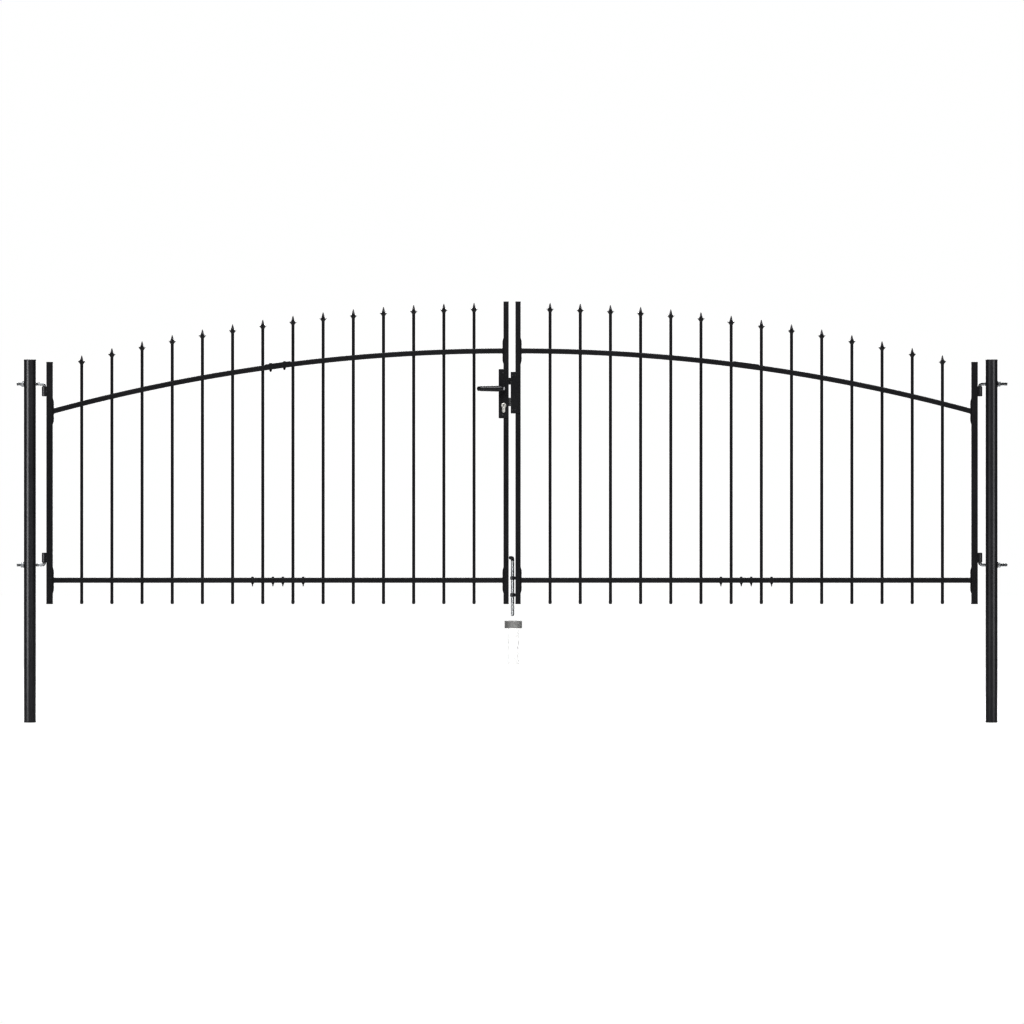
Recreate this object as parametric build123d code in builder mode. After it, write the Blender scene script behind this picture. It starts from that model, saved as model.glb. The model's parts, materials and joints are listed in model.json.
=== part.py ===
from build123d import *
import math
import os

# A double swing driveway gate of steel tube: two leaves with spear-topped pickets and an arched top rail,
# hung on two round posts that stand in the ground. X runs along the gate, Y is the way both leaves open,
# Z is up. The origin is the centre of the left post's foot. All sizes are millimetres.

# Posts
post_diameter = 48
post_wall = 1.5
post_height = 1500
post_buried = 420
post_end_thickness = 4
post_end_rim = 0.8
post_end_round = 1.5
post_plug_depth = 14

# Leaves and their tubes
leaf_span = 1887
leaf_ground_gap = 70
meeting_gap = 29.5
hinge_stile_width = 25
hinge_stile_height = 1000
latch_stile_width = 20
latch_stile_height = 1250
stile_wall = 1.5
stile_corner = 1.5
stile_cap_thickness = 3
stile_cap_rim = 0.5
stile_cap_round = 1.2
stile_plug_depth = 12
rail_width = 20
rail_wall = 1.5
bottom_rail_height = 98
arch_top_height = 1046
arch_rise = 253
rail_joint_gap = 1

# Pickets and spear points
picket_count = 14
picket_diameter = 11
picket_end_gap = 132.5
picket_rise = 200
picket_cap_height = 14
picket_cap_wall = 0.6
picket_cap_round = 3
spear_point_length = 18
spear_point_diameter = 9.6
spear_flare_height = 8.5
spear_collar_diameter = 30
spear_taper_height = 12

# Plates at the rail ends, and the splices where the half panels meet
plate_height = 108
plate_thickness = 4
plate_taper = 13
saddle_picket_gap = 3.9
saddle_wall = 2.5
insert_picket_gap = 4.9
insert_wall = 1.5

# Hinges
left_hinge_reach = 59.5
right_hinge_reach = 48.5
hinge_bolt_diameter = 12
hinge_bolt_length = 113.5
hinge_bend_radius = 10
upper_hinge_height = 909
lower_hinge_height = 161
barrel_diameter = 19.4
barrel_length = 40
barrel_web_width = 12
nut_flange_diameter = 25
nut_flange_thickness = 3
nut_width = 18
nut_thickness = 10

# Lock, keeper and their bolts
lock_width = 40
lock_depth = 28
lock_wall = 2
lock_plate_gap = 22
keeper_width = 39.6
keeper_depth = 26
keeper_top_gap = 24.5
keeper_bottom_gap = 30
spindle_latch_gap = 13.5
spindle_width = 8
spindle_hole_diameter = 15
lever_reach = 110
lever_projection = 42
lever_width = 23
lever_thickness = 13
lever_bend_radius = 14
lever_return = 24
spindle_socket_depth = 12
latch_height = 27
latch_top_gap = 35.5
bolt_thickness = 12
latch_tail = 27
latch_bevel = 8
dead_bolt_height = 34
dead_bolt_spindle_gap = 34
dead_bolt_shank_height = 16
dead_bolt_tail = 28
cylinder_diameter = 22
cylinder_web_width = 13
cylinder_height = 42
cylinder_bolt_gap = 4
cylinder_bottom_gap = 22
cylinder_proud = 4
key_slot_width = 2.4
key_slot_height = 11
key_slot_depth = 3

# Drop rod and its socket in the ground
rod_diameter = 12.5
rod_stile_gap = 12.6
rod_tip_height = 20
rod_top_height = 191
rod_bend_radius = 12
handle_side_reach = 9.5
handle_front_reach = 46
guide_radius = 9.2
guide_height = 13
lower_guide_height = 37
upper_guide_height = 107
socket_collar_diameter = 71
socket_collar_height = 30
socket_tube_diameter = 41
socket_tube_wall = 2
socket_depth = 178
socket_rod_offset = 3

# Clearances
plug_clearance = 0.2
pin_clearance = 0.15
slide_clearance = 0.25
bolt_hole_clearance = 0.4
keeper_clearance = 0.35
overrun = 5

# Places that follow from the sizes. Distances along a leaf are counted from its hinge axis.
sides = ("left", "right")
inward = {"left": 1, "right": -1}
hinge_stile_at = barrel_diameter / 2 + hinge_stile_width / 2
latch_stile_at = hinge_stile_at + leaf_span
leaf_middle_at = hinge_stile_at + leaf_span / 2
leaf_reach = latch_stile_at + latch_stile_width / 2
axis_x = {"left": left_hinge_reach, "right": left_hinge_reach + 2 * leaf_reach + meeting_gap}
post_x = {"left": 0, "right": axis_x["right"] + right_hinge_reach}
leaf_bottom = post_buried + leaf_ground_gap
bottom_rail_z = leaf_bottom + bottom_rail_height
arch_top_z = leaf_bottom + arch_top_height
arch_radius = (leaf_span**2 + arch_rise**2) / (2 * arch_rise)
upper_bolt_z = leaf_bottom + upper_hinge_height
lower_bolt_z = leaf_bottom + lower_hinge_height
spear_height = spear_point_length + spear_flare_height + spear_taper_height
picket_pitch = (leaf_span - 2 * picket_end_gap) / (picket_count - 1)
picket_places = [hinge_stile_at + picket_end_gap + i * picket_pitch for i in range(picket_count)]
picket_bottom_z = leaf_bottom + picket_cap_height
picket_gap = picket_pitch - picket_diameter


def leaf_x(side, distance):
    return axis_x[side] + inward[side] * distance


def arch_z(distance):
    """Height of the top rail's centre line: an arc that lies level at the latch stile."""
    return arch_top_z - arch_radius + math.sqrt(arch_radius**2 - (latch_stile_at - distance) ** 2)


def picket_top_z(distance):
    return arch_z(distance) + picket_rise - spear_height


def write(builder, label):
    builder.part.label = label
    export_step(builder.part, f"parts/{label}.step")


# The lock hangs below the top rail's end plate. From its top down come the latch bolt, the spindle, the dead
# bolt and the key cylinder, and the keeper reaches past both bolts.
lock_right_x = leaf_x("left", leaf_reach)
lock_middle_x = lock_right_x - lock_width / 2
keeper_right_x = leaf_x("right", latch_stile_at - latch_stile_width / 2)
keeper_left_x = keeper_right_x - keeper_width
bolt_nose_x = keeper_left_x - keeper_clearance
lock_top_z = arch_top_z - plate_height / 2 - lock_plate_gap
latch_z = lock_top_z - latch_top_gap - latch_height / 2
spindle_z = latch_z - latch_height / 2 - spindle_latch_gap - spindle_width / 2
dead_bolt_top_z = spindle_z - spindle_width / 2 - dead_bolt_spindle_gap
dead_bolt_z = dead_bolt_top_z - dead_bolt_height / 2
cylinder_top_z = dead_bolt_top_z - dead_bolt_shank_height - cylinder_bolt_gap
cylinder_bottom_z = cylinder_top_z - cylinder_height
cylinder_eye_z = cylinder_top_z - cylinder_diameter / 2
lock_bottom_z = cylinder_bottom_z - cylinder_bottom_gap
lock_height = lock_top_z - lock_bottom_z
keeper_top_z = latch_z + latch_height / 2 + keeper_top_gap
keeper_bottom_z = dead_bolt_z - dead_bolt_height / 2 - keeper_bottom_gap
keeper_height = keeper_top_z - keeper_bottom_z

rod_x = leaf_x("right", leaf_reach) - rod_stile_gap
rod_top_z = leaf_bottom + rod_top_height
socket_x = rod_x + socket_rod_offset

os.makedirs("parts", exist_ok=True)

# Posts: round tubes bored for the hinge bolts, closed by a rimmed cap and a flat foot plug
post_radius = post_diameter / 2
for side in sides:
    with BuildPart() as post:
        with BuildSketch(Plane((post_x[side], 0, post_end_thickness))):
            Circle(post_radius)
            Circle(post_radius - post_wall, mode=Mode.SUBTRACT)
        extrude(amount=post_height - 2 * post_end_thickness)
        with BuildSketch(Plane.YZ.offset(post_x[side])):
            with Locations((0, lower_bolt_z), (0, upper_bolt_z)):
                Circle(hinge_bolt_diameter / 2 + bolt_hole_clearance)
        extrude(amount=post_radius + overrun, both=True, mode=Mode.SUBTRACT)
    write(post, f"{side}_post")

    with BuildPart() as post_cap:
        with BuildSketch(Plane((post_x[side], 0, post_height - post_end_thickness))):
            Circle(post_radius + post_end_rim)
        extrude(amount=post_end_thickness)
        fillet(post_cap.edges().group_by(Axis.Z)[-1], radius=post_end_round)
        with BuildSketch(Plane((post_x[side], 0, post_height - post_end_thickness))):
            Circle(post_radius - post_wall - plug_clearance)
        extrude(amount=-post_plug_depth)
    write(post_cap, f"{side}_post_cap")

    with BuildPart() as post_foot:
        with BuildSketch(Plane((post_x[side], 0, 0))):
            Circle(post_radius + post_end_rim)
        extrude(amount=post_end_thickness)
        with BuildSketch(Plane((post_x[side], 0, post_end_thickness))):
            Circle(post_radius - post_wall - plug_clearance)
        extrude(amount=post_plug_depth)
    write(post_foot, f"{side}_post_foot")

# Hinge bolts: round bar bent to an L. The upper pin points down and the lower one up, so the leaf can't be
# lifted off. Each bolt passes right through its post and a flanged nut draws it up from outside.
for side in sides:
    bolt_end_x = leaf_x(side, -hinge_bolt_length)
    pin_length = hinge_bend_radius + pin_clearance + barrel_length
    for level, bolt_z, pin_way in (("upper", upper_bolt_z, -1), ("lower", lower_bolt_z, 1)):
        with BuildPart() as hinge_bolt:
            with BuildLine(Plane.XZ) as bent_bar:
                FilletPolyline(
                    (bolt_end_x, bolt_z),
                    (axis_x[side], bolt_z),
                    (axis_x[side], bolt_z + pin_way * pin_length),
                    radius=hinge_bend_radius,
                )
            with BuildSketch(Plane(origin=bent_bar.line @ 0, z_dir=bent_bar.line % 0)):
                Circle(hinge_bolt_diameter / 2)
            sweep()
        write(hinge_bolt, f"{side}_{level}_hinge_bolt")

    with BuildPart() as hinge_nuts:
        for bolt_z in (lower_bolt_z, upper_bolt_z):
            seat = Plane(
                origin=(post_x[side] - inward[side] * post_radius, 0, bolt_z), z_dir=(-inward[side], 0, 0)
            )
            with BuildSketch(seat):
                Circle(nut_flange_diameter / 2)
                Circle(hinge_bolt_diameter / 2 + pin_clearance, mode=Mode.SUBTRACT)
            extrude(amount=nut_flange_thickness)
            with BuildSketch(seat.offset(nut_flange_thickness)):
                RegularPolygon(nut_width / 2, 6, major_radius=False)
                Circle(hinge_bolt_diameter / 2 + pin_clearance, mode=Mode.SUBTRACT)
            extrude(amount=nut_thickness)
    write(hinge_nuts, f"{side}_hinge_nuts")

# Spear point: one turned finial, used on every picket
with BuildPart() as spear_point:
    with BuildSketch(Plane.XZ):
        with BuildLine():
            Polyline(
                (0, 0),
                (picket_diameter / 2, 0),
                (spear_collar_diameter / 2, spear_taper_height),
                (spear_point_diameter / 2, spear_taper_height + spear_flare_height),
                (0, spear_height),
                close=True,
            )
        make_face()
    revolve(axis=Axis.Z)

# Picket cap: a plastic foot with a rounded end
with BuildPart() as picket_cap:
    Cylinder(
        picket_diameter / 2 + picket_cap_wall,
        picket_cap_height,
        align=(Align.CENTER, Align.CENTER, Align.MIN),
    )
    chamfer(picket_cap.edges().group_by(Axis.Z)[0], length=picket_cap_round)


def square_tubes(x, spans, width):
    """Upright square tubes on one line, one for each span of heights."""
    with BuildPart() as tubes:
        for low, high in spans:
            with BuildSketch(Plane((x, 0, low))):
                RectangleRounded(width, width, stile_corner)
                Rectangle(width - 2 * stile_wall, width - 2 * stile_wall, mode=Mode.SUBTRACT)
            extrude(amount=high - low)
    return tubes


def half_panel(side, near, far, plate_at, plate_way, places):
    """Half of a leaf's filling: a straight and an arched rail, the pickets through both, and end plates."""
    x_low, x_high = sorted((leaf_x(side, near), leaf_x(side, far)))
    with BuildPart() as panel:
        for half, mode in ((rail_width / 2, Mode.ADD), (rail_width / 2 - rail_wall, Mode.SUBTRACT)):
            with BuildSketch(Plane.XZ):
                with Locations((leaf_x(side, latch_stile_at), arch_top_z - arch_radius)):
                    Circle(arch_radius + half)
                    Circle(arch_radius - half, mode=Mode.SUBTRACT)
                with Locations(((x_low + x_high) / 2, arch_top_z)):
                    Rectangle(x_high - x_low, 2 * arch_top_height, mode=Mode.INTERSECT)
                with Locations(((x_low + x_high) / 2, bottom_rail_z)):
                    Rectangle(x_high - x_low, 2 * half)
            extrude(amount=half, both=True, mode=mode)
        for distance in places:
            with BuildSketch(Plane((leaf_x(side, distance), 0, picket_bottom_z))):
                Circle(picket_diameter / 2)
            extrude(amount=picket_top_z(distance) - picket_bottom_z)
        seat_x = leaf_x(side, plate_at)
        face_x = leaf_x(side, plate_at + plate_way * plate_thickness)
        with BuildSketch(Plane.XZ):
            for rail_z in (bottom_rail_z, arch_z(plate_at)):
                with BuildLine():
                    Polyline(
                        (seat_x, rail_z - plate_height / 2),
                        (face_x, rail_z - plate_height / 2 + plate_taper),
                        (face_x, rail_z + plate_height / 2 - plate_taper),
                        (seat_x, rail_z + plate_height / 2),
                        close=True,
                    )
                make_face()
        extrude(amount=rail_width / 2, both=True)
    return panel


# Leaves
for side in sides:
    hinge_face_at = hinge_stile_at + hinge_stile_width / 2
    latch_face_at = latch_stile_at - latch_stile_width / 2
    hinge_top_z = leaf_bottom + hinge_stile_height
    latch_top_z = leaf_bottom + latch_stile_height
    box_bottom_z, box_top_z = {
        "left": (lock_bottom_z, lock_top_z),
        "right": (keeper_bottom_z, keeper_top_z),
    }[side]

    hinge_stile = square_tubes(
        leaf_x(side, hinge_stile_at),
        [(leaf_bottom + stile_cap_thickness, hinge_top_z - stile_cap_thickness)],
        hinge_stile_width,
    )
    write(hinge_stile, f"{side}_hinge_stile")

    latch_stile = square_tubes(
        leaf_x(side, latch_stile_at),
        [
            (leaf_bottom + stile_cap_thickness, box_bottom_z),
            (box_top_z, latch_top_z - stile_cap_thickness),
        ],
        latch_stile_width,
    )
    write(latch_stile, f"{side}_latch_stile")

    with BuildPart() as stile_caps:
        for place, width, top_z in (
            (hinge_stile_at, hinge_stile_width, hinge_top_z),
            (latch_stile_at, latch_stile_width, latch_top_z),
        ):
            for end_z, outward in ((leaf_bottom, -1), (top_z, 1)):
                seat = Plane((leaf_x(side, place), 0, end_z - outward * stile_cap_thickness))
                with BuildSketch(seat):
                    RectangleRounded(width + 2 * stile_cap_rim, width + 2 * stile_cap_rim, stile_corner)
                extrude(amount=outward * stile_cap_thickness)
                end_edges = stile_caps.edges(Select.LAST).group_by(Axis.Z)[-1 if outward > 0 else 0]
                chamfer(end_edges, length=stile_cap_round)
                plug_width = width - 2 * stile_wall - 2 * plug_clearance
                with BuildSketch(seat):
                    Rectangle(plug_width, plug_width)
                extrude(amount=-outward * stile_plug_depth)
    write(stile_caps, f"{side}_stile_caps")

    # Barrels: thick tubes on a welded web, one for each hinge pin
    with BuildPart() as hinge_barrels:
        pin_gap = hinge_bend_radius + pin_clearance
        for barrel_z in (lower_bolt_z + pin_gap, upper_bolt_z - pin_gap - barrel_length):
            with BuildSketch(Plane((axis_x[side], 0, barrel_z))):
                Circle(barrel_diameter / 2)
                with Locations((inward[side] * barrel_diameter / 4, 0)):
                    Rectangle(barrel_diameter / 2, barrel_web_width)
                Circle(hinge_bolt_diameter / 2 + pin_clearance, mode=Mode.SUBTRACT)
            extrude(amount=barrel_length)
    write(hinge_barrels, f"{side}_hinge_barrels")

    # Filling: two half panels that meet at the middle of the leaf
    half_count = picket_count // 2
    hinge_side_panel = half_panel(
        side,
        hinge_face_at,
        leaf_middle_at - rail_joint_gap / 2,
        hinge_face_at,
        1,
        picket_places[:half_count],
    )
    write(hinge_side_panel, f"{side}_hinge_side_panel")
    latch_side_panel = half_panel(
        side,
        leaf_middle_at + rail_joint_gap / 2,
        latch_face_at,
        latch_face_at,
        -1,
        picket_places[half_count:],
    )
    write(latch_side_panel, f"{side}_latch_side_panel")

    with BuildPart() as spear_points:
        with Locations(*[(leaf_x(side, place), 0, picket_top_z(place)) for place in picket_places]):
            add(spear_point.part)
    write(spear_points, f"{side}_spear_points")

    with BuildPart() as picket_caps:
        with Locations(*[(leaf_x(side, place), 0, leaf_bottom) for place in picket_places]):
            add(picket_cap.part)
    write(picket_caps, f"{side}_picket_caps")

    # Top splice: a saddle of bent plate over the two rail ends. Bottom splice: a tube inside them.
    with BuildPart() as top_splice:
        saddle_length = picket_gap - 2 * saddle_picket_gap
        for grow, depth, mode in (
            (saddle_wall, rail_width / 2 + saddle_wall, Mode.ADD),
            (0, rail_width / 2, Mode.SUBTRACT),
        ):
            with BuildSketch(Plane.XZ):
                with Locations((leaf_x(side, latch_stile_at), arch_top_z - arch_radius)):
                    Circle(arch_radius + rail_width / 2 + grow)
                    Circle(arch_radius - rail_width / 2, mode=Mode.SUBTRACT)
                with Locations((leaf_x(side, leaf_middle_at), arch_top_z)):
                    Rectangle(saddle_length, 2 * arch_top_height, mode=Mode.INTERSECT)
            extrude(amount=depth, both=True, mode=mode)
    write(top_splice, f"{side}_top_splice")

    with BuildPart() as bottom_splice:
        insert_width = rail_width - 2 * rail_wall - 2 * plug_clearance
        insert_bore = insert_width - 2 * insert_wall
        insert_length = picket_gap - 2 * insert_picket_gap
        with BuildSketch(Plane.YZ.offset(leaf_x(side, leaf_middle_at) - insert_length / 2)):
            with Locations((0, bottom_rail_z)):
                Rectangle(insert_width, insert_width)
                Rectangle(insert_bore, insert_bore, mode=Mode.SUBTRACT)
        extrude(amount=insert_length)
    write(bottom_splice, f"{side}_bottom_splice")


def draw_cylinder(grow):
    """Draws the key cylinder's profile in the open sketch: a round eye over a narrower, round-ended web."""
    web_radius = cylinder_web_width / 2 + grow
    web_low_z = cylinder_bottom_z + cylinder_web_width / 2
    with Locations((lock_middle_x, cylinder_eye_z)):
        Circle(cylinder_diameter / 2 + grow)
    with Locations((lock_middle_x, web_low_z)):
        Circle(web_radius)
    with Locations((lock_middle_x, (web_low_z + cylinder_eye_z) / 2)):
        Rectangle(2 * web_radius, cylinder_eye_z - web_low_z)


# Lock case: a closed box let into the left latch stile, slotted for its bolts and bored for the spindle
# and the key cylinder
with BuildPart() as lock_case:
    with BuildSketch(Plane((lock_middle_x, 0, lock_bottom_z))):
        RectangleRounded(lock_width, lock_depth, stile_corner)
    extrude(amount=lock_height)
    with BuildSketch(Plane((lock_middle_x, 0, lock_bottom_z + lock_wall))):
        Rectangle(lock_width - 2 * lock_wall, lock_depth - 2 * lock_wall)
    extrude(amount=lock_height - 2 * lock_wall, mode=Mode.SUBTRACT)
    slot_thickness = bolt_thickness + 2 * slide_clearance
    with BuildSketch(Plane.YZ.offset(lock_right_x - lock_wall - overrun)):
        with Locations((0, latch_z)):
            Rectangle(slot_thickness, latch_height + 2 * slide_clearance)
        with Locations((0, dead_bolt_z)):
            Rectangle(slot_thickness, dead_bolt_height + 2 * slide_clearance)
    extrude(amount=lock_wall + 2 * overrun, mode=Mode.SUBTRACT)
    with BuildSketch(Plane.XZ):
        with Locations((lock_middle_x, spindle_z)):
            Circle(spindle_hole_diameter / 2)
        draw_cylinder(plug_clearance)
    extrude(amount=lock_depth / 2 + overrun, both=True, mode=Mode.SUBTRACT)
write(lock_case, "lock_case")

with BuildPart() as key_cylinder:
    with BuildSketch(Plane.XZ):
        draw_cylinder(0)
    extrude(amount=lock_depth / 2 + cylinder_proud, both=True)
    for face_y in (-1, 1):
        with BuildSketch(Plane.XZ.offset(face_y * (lock_depth / 2 + cylinder_proud - key_slot_depth))):
            with Locations((lock_middle_x, cylinder_eye_z)):
                Rectangle(key_slot_width, key_slot_height)
        extrude(amount=face_y * (key_slot_depth + overrun), mode=Mode.SUBTRACT)
write(key_cylinder, "key_cylinder")

# Latch bolt: its nose is bevelled on the closing side
with BuildPart() as latch_bolt:
    with BuildSketch(Plane.XY.offset(latch_z - latch_height / 2)):
        with BuildLine():
            Polyline(
                (lock_right_x - latch_tail, -bolt_thickness / 2),
                (bolt_nose_x - latch_bevel, -bolt_thickness / 2),
                (bolt_nose_x, bolt_thickness / 2 - slide_clearance),
                (bolt_nose_x, bolt_thickness / 2),
                (lock_right_x - latch_tail, bolt_thickness / 2),
                close=True,
            )
        make_face()
    extrude(amount=latch_height)
write(latch_bolt, "latch_bolt")

# Dead bolt: a tall head outside the case, on a shank that passes over the key cylinder
with BuildPart() as dead_bolt:
    head_length = bolt_nose_x - lock_right_x
    with BuildSketch(Plane.YZ.offset(lock_right_x)):
        with Locations((0, dead_bolt_z)):
            Rectangle(bolt_thickness, dead_bolt_height)
    extrude(amount=head_length)
    with BuildSketch(Plane.YZ.offset(lock_right_x)):
        with Locations((0, dead_bolt_z + (dead_bolt_height - dead_bolt_shank_height) / 2)):
            Rectangle(bolt_thickness, dead_bolt_shank_height)
    extrude(amount=-dead_bolt_tail)
write(dead_bolt, "dead_bolt")

# Levers: a flattened bar swept out from the spindle, along the gate and back towards it
for label, way in (("front_lever", -1), ("rear_lever", 1)):
    with BuildPart() as lever:
        root_y = way * (lock_depth / 2 + slide_clearance)
        grip_y = way * (lock_depth / 2 + lever_projection)
        tip_x = lock_middle_x - lever_reach + lever_thickness / 2
        with BuildLine(Plane.XY.offset(spindle_z)) as lever_path:
            FilletPolyline(
                (lock_middle_x, root_y),
                (lock_middle_x, grip_y),
                (tip_x, grip_y),
                (tip_x, grip_y - way * lever_return),
                radius=lever_bend_radius,
            )
        with BuildSketch(Plane(origin=lever_path.line @ 0, x_dir=(1, 0, 0), z_dir=lever_path.line % 0)):
            Ellipse(lever_thickness / 2, lever_width / 2)
        sweep()
        with BuildSketch(Plane.XZ.offset(-root_y)):
            with Locations((lock_middle_x, spindle_z)):
                Rectangle(spindle_width, spindle_width)
        extrude(amount=-way * spindle_socket_depth, mode=Mode.SUBTRACT)
    write(lever, label)

with BuildPart() as lever_spindle:
    with BuildSketch(Plane.XZ):
        with Locations((lock_middle_x, spindle_z)):
            Rectangle(spindle_width, spindle_width)
    extrude(amount=lock_depth / 2 + slide_clearance + spindle_socket_depth, both=True)
write(lever_spindle, "lever_spindle")

# Keeper: a closed box let into the right latch stile, with a slot for each bolt
with BuildPart() as keeper:
    keeper_middle_x = (keeper_left_x + keeper_right_x) / 2
    with BuildSketch(Plane((keeper_middle_x, 0, keeper_bottom_z))):
        RectangleRounded(keeper_width, keeper_depth, stile_corner)
    extrude(amount=keeper_height)
    with BuildSketch(Plane((keeper_middle_x, 0, keeper_bottom_z + lock_wall))):
        Rectangle(keeper_width - 2 * lock_wall, keeper_depth - 2 * lock_wall)
    extrude(amount=keeper_height - 2 * lock_wall, mode=Mode.SUBTRACT)
    with BuildSketch(Plane.YZ.offset(keeper_left_x - overrun)):
        pocket_thickness = bolt_thickness + 4 * slide_clearance
        with Locations((0, latch_z)):
            Rectangle(pocket_thickness, latch_height + 4 * slide_clearance)
        with Locations((0, dead_bolt_z)):
            Rectangle(pocket_thickness, dead_bolt_height + 4 * slide_clearance)
    extrude(amount=lock_wall + 2 * overrun, mode=Mode.SUBTRACT)
write(keeper, "keeper")

# Drop rod: a round bar with its top bent over to a handle, in two welded eyes on the right latch stile
with BuildPart() as drop_rod:
    rod_tip_z = post_buried + rod_tip_height
    with BuildLine() as rod_path:
        FilletPolyline(
            (rod_x, 0, rod_tip_z),
            (rod_x, 0, rod_top_z),
            (rod_x - handle_side_reach, -handle_front_reach, rod_top_z),
            radius=rod_bend_radius,
        )
    with BuildSketch(Plane(origin=rod_path.line @ 0, z_dir=rod_path.line % 0)):
        Circle(rod_diameter / 2)
    sweep()
write(drop_rod, "drop_rod")

with BuildPart() as drop_rod_guides:
    for guide_z in (leaf_bottom + lower_guide_height, leaf_bottom + upper_guide_height):
        with BuildSketch(Plane((rod_x, 0, guide_z - guide_height / 2))):
            Circle(guide_radius)
            with Locations((rod_stile_gap / 2, 0)):
                Rectangle(rod_stile_gap, guide_radius)
            Circle(rod_diameter / 2 + slide_clearance, mode=Mode.SUBTRACT)
        extrude(amount=guide_height)
write(drop_rod_guides, "drop_rod_guides")

# Ground socket: a tube set in the ground, with a thick collar at ground level
with BuildPart() as ground_socket_collar:
    with BuildSketch(Plane((socket_x, 0, post_buried - socket_collar_height))):
        Circle(socket_collar_diameter / 2)
        Circle(socket_tube_diameter / 2 + plug_clearance, mode=Mode.SUBTRACT)
    extrude(amount=socket_collar_height)
    chamfer(
        ground_socket_collar.edges().group_by(Axis.Z)[-1].sort_by(SortBy.LENGTH)[-1],
        length=post_end_round,
    )
write(ground_socket_collar, "ground_socket_collar")

with BuildPart() as ground_socket_tube:
    with BuildSketch(Plane((socket_x, 0, post_buried - socket_depth))):
        Circle(socket_tube_diameter / 2)
        Circle(socket_tube_diameter / 2 - socket_tube_wall, mode=Mode.SUBTRACT)
    extrude(amount=socket_depth)
write(ground_socket_tube, "ground_socket_tube")
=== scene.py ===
# %% [markdown]
# # A double swing driveway gate
# The gate is two leaves of black steel tube with spear-topped pickets, hung on round posts. The sizes and
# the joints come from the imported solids. This lesson dresses them: round bars get enough sides to shine
# evenly, edges get the small radius that a real edge has, and screws, threads and welds are added.

# %% Load the frame
import json
import math

import bmesh
import bpy
from mathutils import Matrix, Vector


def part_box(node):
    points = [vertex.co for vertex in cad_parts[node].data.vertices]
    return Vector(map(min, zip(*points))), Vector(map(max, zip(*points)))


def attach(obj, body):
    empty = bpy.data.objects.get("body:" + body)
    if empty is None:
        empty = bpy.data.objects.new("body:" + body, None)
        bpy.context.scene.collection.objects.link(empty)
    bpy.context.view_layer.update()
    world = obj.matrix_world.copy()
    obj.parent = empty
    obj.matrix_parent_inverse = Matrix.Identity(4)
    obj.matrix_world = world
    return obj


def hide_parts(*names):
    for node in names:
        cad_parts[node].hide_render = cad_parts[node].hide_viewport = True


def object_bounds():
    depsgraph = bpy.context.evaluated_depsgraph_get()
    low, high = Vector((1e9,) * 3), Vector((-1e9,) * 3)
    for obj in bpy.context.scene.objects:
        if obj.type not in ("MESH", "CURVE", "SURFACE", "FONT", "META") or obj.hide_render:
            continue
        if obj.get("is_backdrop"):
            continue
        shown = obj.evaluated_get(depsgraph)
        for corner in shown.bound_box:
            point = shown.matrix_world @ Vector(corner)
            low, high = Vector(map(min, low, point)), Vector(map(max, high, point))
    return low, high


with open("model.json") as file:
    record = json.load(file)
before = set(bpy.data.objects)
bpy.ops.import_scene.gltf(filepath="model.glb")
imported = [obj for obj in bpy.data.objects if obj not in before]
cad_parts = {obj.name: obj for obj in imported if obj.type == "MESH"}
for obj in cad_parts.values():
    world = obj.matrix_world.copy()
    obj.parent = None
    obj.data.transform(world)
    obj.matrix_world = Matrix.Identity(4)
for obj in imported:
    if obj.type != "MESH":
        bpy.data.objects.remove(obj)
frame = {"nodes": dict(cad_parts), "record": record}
solid_low, solid_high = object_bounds()
body_of_node = {
    node: body for body, nodes in frame["record"]["behaviour"]["bodies"].items() for node in nodes
}
slot_of_node = {row["node"]: row["material_slot"] for row in frame["record"]["subparts"]}
mm = 0.001
print("the gate's box:", [round(v, 4) for v in solid_high - solid_low], "m, nodes:", len(body_of_node))

# %% [markdown]
# ## Shader maths as plain Python
# A material is a graph of nodes. Placing a Math node for every plus sign soon hides the idea, so a small
# class wraps a node's output and overloads the operators: `0.2 + mask * 0.3` then adds its own nodes. Every
# other node comes from one method, `add`, which sets a node's options first and its sockets after.


# %% The socket and tree classes
class Reading:
    """A node's output, used in sums as if it were a number."""

    def __init__(self, tree, output):
        self.tree = tree
        self.output = output

    def maths(self, operation, other):
        return self.tree.add("ShaderNodeMath", {"operation": operation}, {0: self, 1: other})

    def __add__(self, other):
        return self.maths("ADD", other)

    def __mul__(self, other):
        return self.maths("MULTIPLY", other)

    __radd__ = __add__
    __rmul__ = __mul__


class NodeTree:
    """The node tree of a material or of the world, emptied and ready to fill."""

    def __init__(self, owner):
        owner.use_nodes = True
        self.tree = owner.node_tree
        self.tree.nodes.clear()

    def add(self, kind, settings=None, inputs=None, output=0):
        node = self.tree.nodes.new(kind)
        for name, value in (settings or {}).items():
            setattr(node, name, value)
        for name, value in (inputs or {}).items():
            if isinstance(value, Reading):
                self.tree.links.new(value.output, node.inputs[name])
            else:
                node.inputs[name].default_value = value
        return Reading(self, node.outputs[output]) if node.outputs else node


# %% [markdown]
# ## The patterns that the finishes share
# Every finish reads Object coordinates. The pieces all sit at the origin, so one metre in the pattern is one
# metre on the gate, and a grain of half a millimetre is a noise scale of about two thousand.


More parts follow.
